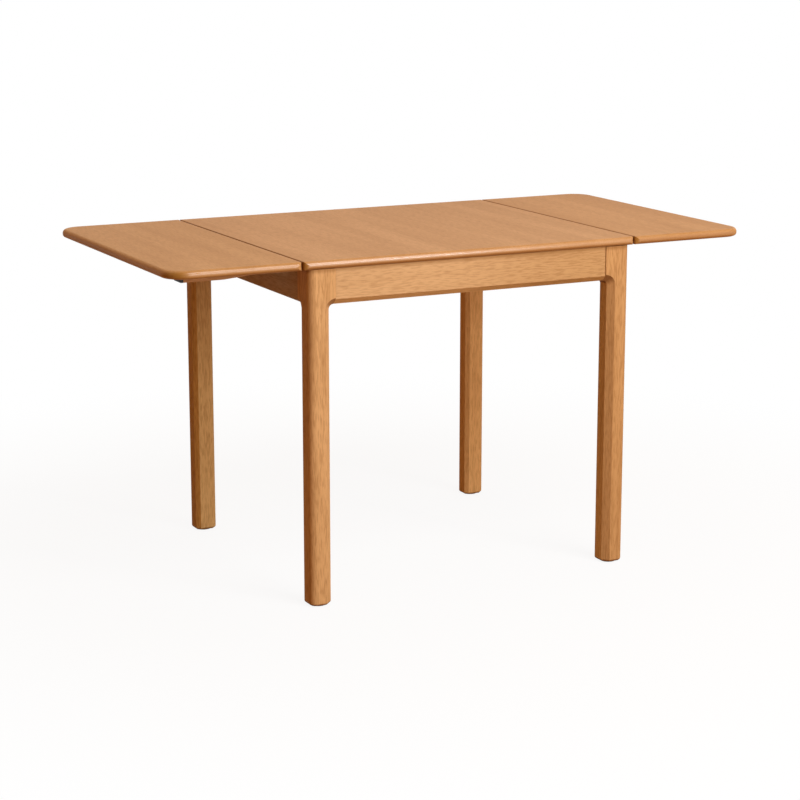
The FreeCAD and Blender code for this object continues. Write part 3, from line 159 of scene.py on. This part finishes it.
def multiplied(tree, vector, factors):
    """Coordinates or a colour, multiplied part by part."""
    return vector_math(tree, "MULTIPLY", vector, factors)["Vector"]


def noise(tree, vector, detail=2.0, roughness=0.5, distortion=0.0):
    """A noise texture, whose density comes from the coordinates."""
    node = tree.nodes.new("ShaderNodeTexNoise")
    node.inputs["Scale"].default_value = 1.0
    node.inputs["Detail"].default_value = detail
    node.inputs["Roughness"].default_value = roughness
    node.inputs["Distortion"].default_value = distortion
    tree.links.new(vector, node.inputs["Vector"])
    return node.outputs["Fac"]


def rescaled(tree, value, from_low, from_high, to_low=0.0, to_high=1.0):
    """A value taken smoothly from one range to another, and held at its ends."""
    node = tree.nodes.new("ShaderNodeMapRange")
    node.interpolation_type = "SMOOTHSTEP"
    node.inputs["From Min"].default_value = from_low
    node.inputs["From Max"].default_value = from_high
    node.inputs["To Min"].default_value = to_low
    node.inputs["To Max"].default_value = to_high
    tree.links.new(value, node.inputs["Value"])
    return node.outputs["Result"]


def combined(tree, operation, first, second):
    """Two values, or a value and a number, through one math node."""
    node = tree.nodes.new("ShaderNodeMath")
    node.operation = operation
    tree.links.new(first, node.inputs[0])
    if isinstance(second, float):
        node.inputs[1].default_value = second
    else:
        tree.links.new(second, node.inputs[1])
    return node.outputs[0]


def unsigned(tree, value):
    """A value without its sign."""
    return combined(tree, "ABSOLUTE", value, 0.0)


def mixed(tree, factor, first, second):
    """A colour between two, each a socket or a plain colour."""
    node = tree.nodes.new("ShaderNodeMix")
    node.data_type = "RGBA"
    tree.links.new(factor, node.inputs["Factor"])
    for colour, socket in ((first, node.inputs["A"]), (second, node.inputs["B"])):
        if isinstance(colour, tuple):
            socket.default_value = (*colour, 1.0)
        else:
            tree.links.new(colour, socket)
    return node.outputs["Result"]


def mixed_shaders(tree, factor, first, second):
    """The first shader where the factor is nought, and the second where it is one."""
    node = tree.nodes.new("ShaderNodeMixShader")
    for socket, source in zip(node.inputs, (factor, first, second)):
        tree.links.new(source, socket)
    return node.outputs["Shader"]


def bumped(tree, shader, height, strength, distance):
    """Gives the shader a relief that follows a value."""
    node = tree.nodes.new("ShaderNodeBump")
    node.inputs["Strength"].default_value = strength
    node.inputs["Distance"].default_value = distance
    tree.links.new(height, node.inputs["Height"])
    tree.links.new(node.outputs["Normal"], shader.inputs["Normal"])


# Wood

def toned(colour, tone):
    """A colour made lighter or darker by a factor for each channel."""
    return tuple(part * factor for part, factor in zip(colour, tone))


def stained_and_shaded(tree, colour, tone, *layers):
    """The colour under layers of stain and of painted shade, each a share and a plain colour that takes the
    board's tone.
    """
    for share, stain in layers:
        colour = mixed(tree, share, colour, toned(stain, tone))
    return colour


def corner_shade_share(tree):
    """How far a spot lies in the corner between two pieces, as the share of painted shade there."""
    corner = tree.nodes.new("ShaderNodeAmbientOcclusion")
    corner.samples = 8
    corner.inputs["Distance"].default_value = CORNER_SHADE_REACH
    return rescaled(tree, corner.outputs["AO"], 0.35, 0.90, 0.75, 0.0)


def oak(name, turn, shift, tone=EVEN_TONE, grain=PLAIN_GRAIN):
    """Honey oak: broad tone, figure stretched along the grain, short dark flecks, and painted shade in the
    corners between pieces.
    """
    streak, fleck = grain
    material, tree, shader = new_material(name)
    place = grain_coordinates(tree, turn, shift)
    broad = noise(tree, multiplied(tree, place, BROAD_DENSITY), detail=2.0, distortion=0.4)
    figure_place = multiplied(tree, place, FIGURE_DENSITY)
    figure = noise(tree, figure_place, detail=3.0, roughness=0.55, distortion=0.6)
    fine = noise(tree, multiplied(tree, place, FINE_DENSITY), detail=2.0)
    pore = noise(tree, multiplied(tree, place, PORE_DENSITY), detail=1.0)
    light_share = rescaled(tree, broad, 0.30, 0.70)
    figure_share = rescaled(tree, figure, 0.46, 0.74, 0.0, streak)
    fine_share = rescaled(tree, fine, 0.44, 0.64, 0.0, fleck)
    pore_share = rescaled(tree, pore, 0.56, 0.72, 0.0, PORES_TO_FLECKS * fleck)
    colour = mixed(tree, light_share, toned(MIDDLE_OAK, tone), toned(LIGHT_OAK, tone))
    colour = stained_and_shaded(
        tree, colour, tone, (figure_share, DARK_OAK), (fine_share, DARK_OAK),
        (pore_share, PORE_AND_SHADE_OAK), (corner_shade_share(tree), PORE_AND_SHADE_OAK))
    tree.links.new(colour, shader.inputs["Base Color"])
    tree.links.new(rescaled(tree, figure, 0.3, 0.7, 0.42, 0.54), shader.inputs["Roughness"])
    shader.inputs["Specular IOR Level"].default_value = 0.01
    bumped(tree, shader, combined(tree, "SUBTRACT", fine, pore_share), 0.08, 0.0005)
    return material, tree, shader, colour


def polish_rim(tree, shader, normal, ahead, off_seam, shine):
    """Lacquer that shines on the upper part of the rims in front and behind, and faintly on the left."""
    leftward = combined(tree, "MULTIPLY", normal["X"], -0.63)
    facing = rescaled(tree, combined(tree, "MAXIMUM", ahead, leftward), 0.50, 0.95)
    upper = rescaled(tree, normal["Z"], -0.25, 0.15)
    outside_seam = rescaled(tree, off_seam, 0.0030, 0.0070)
    rim = combined(tree, "MULTIPLY", combined(tree, "MULTIPLY", facing, upper), outside_seam)
    tree.links.new(rescaled(tree, rim, 0.0, 1.0, 0.02, shine), shader.inputs["Specular IOR Level"])
    tree.links.new(rescaled(tree, rim, 0.0, 0.8, 0.48, 0.18), shader.inputs["Roughness"])


def edged(material, tree, shader, colour, tone, shine, shade_below):
    """A top with painted shade in its seams, and a polished rim with painted shade that is stronger below,
    and darker round the left corners.
    """
    off_middle = unsigned(tree, axis_values(tree, "Object")["X"])
    off_seam = unsigned(tree, combined(tree, "SUBTRACT", off_middle, SEAM_X))
    normal = axis_values(tree, "Normal")
    crosswise = unsigned(tree, normal["Y"])
    sideways = combined(tree, "MULTIPLY", unsigned(tree, normal["X"]), 0.5)
    ahead = combined(tree, "SUBTRACT", crosswise, sideways)
    polish_rim(tree, shader, normal, ahead, off_seam, shine)
    seam_shade_share = rescaled(tree, off_seam, 0.0025, 0.0050, 0.65, 0.0)
    rim_shade_share = rescaled(tree, ahead, 0.10, 0.55, 0.0, 0.50)
    under = rescaled(tree, normal["Z"], -0.95, shade_below, 0.75, 0.0)
    low_shade_share = combined(tree, "MULTIPLY", under, rescaled(tree, ahead, 0.30, 0.90))
    leftward = combined(tree, "MAXIMUM", combined(tree, "MULTIPLY", normal["X"], -2.0), 0.0)
    corner = combined(tree, "MULTIPLY", leftward, crosswise)
    corner_share = rescaled(tree, corner, 0.05, 0.95, 0.0, 0.78)
    colour = stained_and_shaded(
        tree, colour, tone, (seam_shade_share, SEAM_SHADE_OAK), (rim_shade_share, RIM_SHADE_OAK),
        (low_shade_share, SEAM_SHADE_OAK), (corner_share, CORNER_OAK))
    tree.links.new(colour, shader.inputs["Base Color"])
    return material


def painted_shadow_below_top(tree, colour, tone):
    """The colour with a painted shadow: the darker band that runs close under the top."""
    height = axis_values(tree, "Object")["Z"]
    share = rescaled(tree, height, SHADOW_BAND_LOW_Z, SHADOW_BAND_HIGH_Z, 0.0, 0.60)
    return stained_and_shaded(tree, colour, tone, (share, PORE_AND_SHADE_OAK))


def face_light_and_shade(tree, colour, direction, nearness, tone):
    """The colour lightened or darkened, as painted light and shade, on faces that look in one direction."""
    toward = vector_math(tree, "DOT_PRODUCT", coordinates(tree, "Normal"), direction)["Value"]
    share = rescaled(tree, toward, nearness - FACE_BLEND, nearness)
    return mixed(tree, share, colour, multiplied(tree, colour, tone))


def front_apron_painted_shade(material, tree, shader, colour):
    """The front apron, with painted shade that darkens it toward its right end and under the top."""
    along = axis_values(tree, "Object")["X"]
    share = rescaled(tree, along, APRON_SHADE_START_X, APRON_SHADE_FULL_X)
    colour = mixed(tree, share, colour, multiplied(tree, colour, FRONT_APRON_SHADED_END_TONE))
    colour = painted_shadow_below_top(tree, colour, FRONT_APRON_SHADOW_BAND_TONE)
    tree.links.new(colour, shader.inputs["Base Color"])
    return material


def down_facing_darker(material, tree, shader, colour, tone):
    """A leg, darker on faces that look down, with the painted shadow under the top."""
    share = rescaled(tree, axis_values(tree, "Normal")["Z"], -0.60, -0.10, 0.75, 0.0)
    colour = painted_shadow_below_top(tree, stained_and_shaded(tree, colour, tone, (share, PORE_AND_SHADE_OAK)), tone)
    tree.links.new(colour, shader.inputs["Base Color"])
    return material


# Metal, paint, plastic and rubber

def plain_metal(name, dark, light, roughness, brushing):
    """Steel with fine brushing and a slightly uneven tone."""
    material, tree, shader = new_material(name)
    place = grain_coordinates(tree)
    cloud = noise(tree, multiplied(tree, place, (60.0, 60.0, 60.0)), detail=3.0)
    lines = noise(tree, multiplied(tree, place, brushing), detail=2.0)
    cloud_share = rescaled(tree, cloud, 0.3, 0.7, 0.6, 1.0)
    light_share = combined(tree, "MULTIPLY", cloud_share, rescaled(tree, lines, 0.3, 0.7))
    tree.links.new(mixed(tree, light_share, dark, light), shader.inputs["Base Color"])
    gloss = rescaled(tree, lines, 0.3, 0.7, roughness - 0.06, roughness + 0.08)
    tree.links.new(gloss, shader.inputs["Roughness"])
    shader.inputs["Metallic"].default_value = 1.0
    return material


def speckled(name, dark, light, roughness, density, relief):
    """Paint, plastic or rubber with a fine even texture."""
    material, tree, shader = new_material(name)
    place = grain_coordinates(tree)
    texture = noise(tree, multiplied(tree, place, (density, density, density)), detail=2.0)
    light_share = rescaled(tree, texture, 0.35, 0.65)
    tree.links.new(mixed(tree, light_share, dark, light), shader.inputs["Base Color"])
    gloss = rescaled(tree, texture, 0.3, 0.7, roughness - 0.05, roughness + 0.05)
    tree.links.new(gloss, shader.inputs["Roughness"])
    bumped(tree, shader, texture, relief, 0.0004)
    return material


# Materials on the pieces: each board takes its grain from a place of its own in the noise

def dress(node, material):
    """Gives a node one material in place of those it has."""
    slots = nodes[node].data.materials
    slots.clear()
    slots.append(material)


def dress_top(node, side, shift):
    """Gives one of the three tops its oak."""
    tone = TOP_TONE[side]
    board = oak(f"{node}_oak", ALONG_Y, shift, tone, TOP_GRAIN)
    dress(node, edged(*board, tone, *TOP_RIM[side]))


def dress_wood(node, turn, shift, tone=EVEN_TONE, grain=PLAIN_GRAIN):
    """Gives a piece plain oak."""
    dress(node, oak(f"{node}_oak", turn, shift, tone, grain)[0])


def dress_front_apron(shift):
    """Gives the front apron its oak, with painted shade on the bevel."""
    board = oak("front_apron_oak", ALONG_X, shift, LONG_APRON_TONE, LONG_APRON_GRAIN)
    material, tree, shader, colour = board
    colour = face_light_and_shade(tree, colour, *FRONT_APRON_BEVEL_SHADE)
    dress("front_apron", front_apron_painted_shade(material, tree, shader, colour))


def dress_leg(corner, shift):
    """Gives a leg its oak."""
    tone = LEG_TONE[corner]
    material, tree, shader, colour = oak(f"{corner}_leg_oak", ALONG_Z, shift, tone, LEG_GRAIN)
    if corner in LEG_FACE_LIGHT_AND_SHADE:
        colour = face_light_and_shade(tree, colour, *LEG_FACE_LIGHT_AND_SHADE[corner])
    dress(f"{corner}_leg", down_facing_darker(material, tree, shader, colour, tone))


dress_top("centre_top", "centre", (0.0, 0.0, 0.0))
for index, side in enumerate(SIDES):
    dress_top(f"{side}_leaf", side, (3.1 + index, 0.4, 0.2))
    dress_wood(f"{side}_apron", ALONG_Y, (5.3 + index, 1.1, 0.7), SHORT_APRON_TONE)
dress_front_apron((7.7, 2.3, 1.9))
dress_wood("back_apron", ALONG_X, (8.7, 2.3, 1.9), LONG_APRON_TONE, LONG_APRON_GRAIN)
for index, corner in enumerate(CORNERS):
    dress_leg(corner, (11.2 + index, 3.7 + index, 2.1))
    dress_wood(f"{corner}_leaf_cleat", ALONG_X, (17.4 + index, 4.9, 3.3), CLEAT_TONE)
dress_wood("centre_rail", ALONG_Y, (23.0, 5.5, 4.0))
dress_wood("apron_dowels", ALONG_Y, (24.0, 6.5, 4.0))

zinc = plain_metal(
    "zinc_steel", dark=(0.42, 0.43, 0.45), light=(0.66, 0.67, 0.69),
    roughness=0.34, brushing=(300.0, 300.0, 900.0))
hinge_steel = plain_metal(
    "hinge_steel", dark=(0.38, 0.38, 0.39), light=(0.60, 0.60, 0.61),
    roughness=0.30, brushing=(900.0, 40.0, 900.0))
black_paint = speckled(
    "stay_black_paint", dark=(0.014, 0.014, 0.016), light=(0.030, 0.030, 0.033),
    roughness=0.46, density=1600.0, relief=0.12)
brown_nylon = speckled(
    "glide_brown_nylon", dark=(0.150, 0.095, 0.055), light=(0.190, 0.122, 0.072),
    roughness=0.52, density=900.0, relief=0.08)
black_rubber = speckled(
    "bumper_rubber", dark=(0.010, 0.010, 0.010), light=(0.022, 0.022, 0.022),
    roughness=0.74, density=1200.0, relief=0.15)

for corner in CORNERS:
    dress(f"{corner}_corner_brace", zinc)
    dress(f"{corner}_foot_glide", brown_nylon)
    for piece in ("hinge_top_flap", "hinge_leaf_flap", "hinge_pin"):
        dress(f"{corner}_{piece}", hinge_steel)
for piece in ("hanger_bolts", "brace_washers", "brace_nuts", "top_clips", "top_screws", "apron_screws"):
    dress(piece, zinc)
for side in SIDES:
    for piece in ("leaf_screws", "stay_pivot_pin", "stay_roller_axle"):
        dress(f"{side}_{piece}", zinc)
    for piece in ("stay_bracket", "stay_strut", "stay_track"):
        dress(f"{side}_{piece}", black_paint)
    dress(f"{side}_stay_rollers", brown_nylon)
    dress(f"{side}_leaf_bumpers", black_rubber)


# Floor, light and camera

def seen_directly(tree):
    """One for camera, mirror and see-through rays, and nought for the rays that carry light."""
    rays = tree.nodes.new("ShaderNodeLightPath").outputs
    indirect = combined(tree, "MAXIMUM", rays["Is Glossy Ray"], rays["Is Transmission Ray"])
    return combined(tree, "MAXIMUM", rays["Is Camera Ray"], indirect)


def floor_material():
    """White with a faint shadow round the table, a dim warm bounce, and clear when seen from below."""
    material, tree, shader = new_material("floor_white")
    seen = seen_directly(tree)
    tree.links.new(mixed(tree, seen, FLOOR_BOUNCE, FLOOR_WHITE), shader.inputs["Base Color"])
    shader.inputs["Roughness"].default_value = 0.9
    shader.inputs["Specular IOR Level"].default_value = 0.0
    glow = tree.nodes.new("ShaderNodeEmission")
    glow.inputs["Strength"].default_value = 1.0
    distance = vector_math(tree, "LENGTH", grain_coordinates(tree))["Value"]
    glow_share = rescaled(tree, distance, SHADOW_NEAR, SHADOW_FAR, SHADOW_GLOW, 1.0)
    seen_glow = combined(tree, "MULTIPLY", seen, glow_share)
    above = mixed_shaders(tree, seen_glow, shader.outputs["BSDF"], glow.outputs["Emission"])
    clear = tree.nodes.new("ShaderNodeBsdfTransparent")
    side = tree.nodes.new("ShaderNodeNewGeometry")
    surface = mixed_shaders(tree, side.outputs["Backfacing"], above, clear.outputs["BSDF"])
    tree.links.new(surface, tree.nodes["Material Output"].inputs["Surface"])
    return material


def make_floor():
    """A square floor just below the feet."""
    signs = ((-1, -1), (1, -1), (1, 1), (-1, 1))
    corners = [(x * FLOOR_HALF_WIDTH, y * FLOOR_HALF_WIDTH, FLOOR_LEVEL) for x, y in signs]
    mesh = bpy.data.meshes.new("floor")
    mesh.from_pydata(corners, [], [(0, 1, 2, 3)])
    mesh.materials.append(floor_material())
    floor = bpy.data.objects.new("floor", mesh)
    scene.collection.objects.link(floor)


def make_world():
    """White to look at, with a dim warm light on the object that is stronger from behind on the right."""
    world = bpy.data.worlds.new("studio")
    world.use_nodes = True
    scene.world = world
    tree = world.node_tree
    background = tree.nodes["Background"]
    toward = vector_math(tree, "DOT_PRODUCT", coordinates(tree, "Generated"), BRIGHT_SIDE)["Value"]
    glow = mixed(tree, rescaled(tree, toward, 0.05, 0.95), WORLD_DIM, WORLD_BRIGHT)
    colour = mixed(tree, seen_directly(tree), glow, WHITE)
    tree.links.new(colour, background.inputs["Color"])
    background.inputs["Strength"].default_value = 1.0


def make_light(name, place, target, size, power):
    """A rectangular lamp that looks at a target: metres, then watts."""
    lamp = bpy.data.lights.new(name, "AREA")
    lamp.shape = "RECTANGLE"
    lamp.size, lamp.size_y = size
    lamp.energy = power
    holder = bpy.data.objects.new(name, lamp)
    holder.location = place
    holder.rotation_euler = (Vector(target) - Vector(place)).to_track_quat("-Z", "Y").to_euler()
    scene.collection.objects.link(holder)


def make_camera():
    """Where the photograph was taken from, in metres and radians."""
    yaw = 0.46527
    pitch = 0.22072
    camera = bpy.data.cameras.new("photo_camera")
    camera.sensor_width = 36.0
    camera.lens = 98.841
    camera.clip_end = 100.0
    holder = bpy.data.objects.new("photo_camera", camera)
    holder.location = (-2.23792, -4.45504, 1.46512)
    holder.rotation_euler = (math.radians(90.0) - pitch, 0.0, -yaw)
    scene.collection.objects.link(holder)
    scene.camera = holder


make_floor()
make_world()
make_light("key", place=(0.9, -3.2, 3.9), target=(0.0, 0.0, 0.6), size=(2.5, 2.2), power=111.0)
make_light("front_fill", place=(1.15, -4.3, 1.2), target=(0.0, 0.0, 0.5), size=(2.0, 2.0), power=73.0)
make_light(
    "edge_accent", place=(1.85, -4.0, 2.3), target=(-0.15, -0.36, 0.75), size=(0.5, 0.4), power=18.0)
make_light("overhead", place=(0.2, 0.3, 3.4), target=(0.0, 0.0, 0.7), size=(2.4, 2.0), power=6.0)
make_camera()
scene.view_settings.view_transform = "Standard"
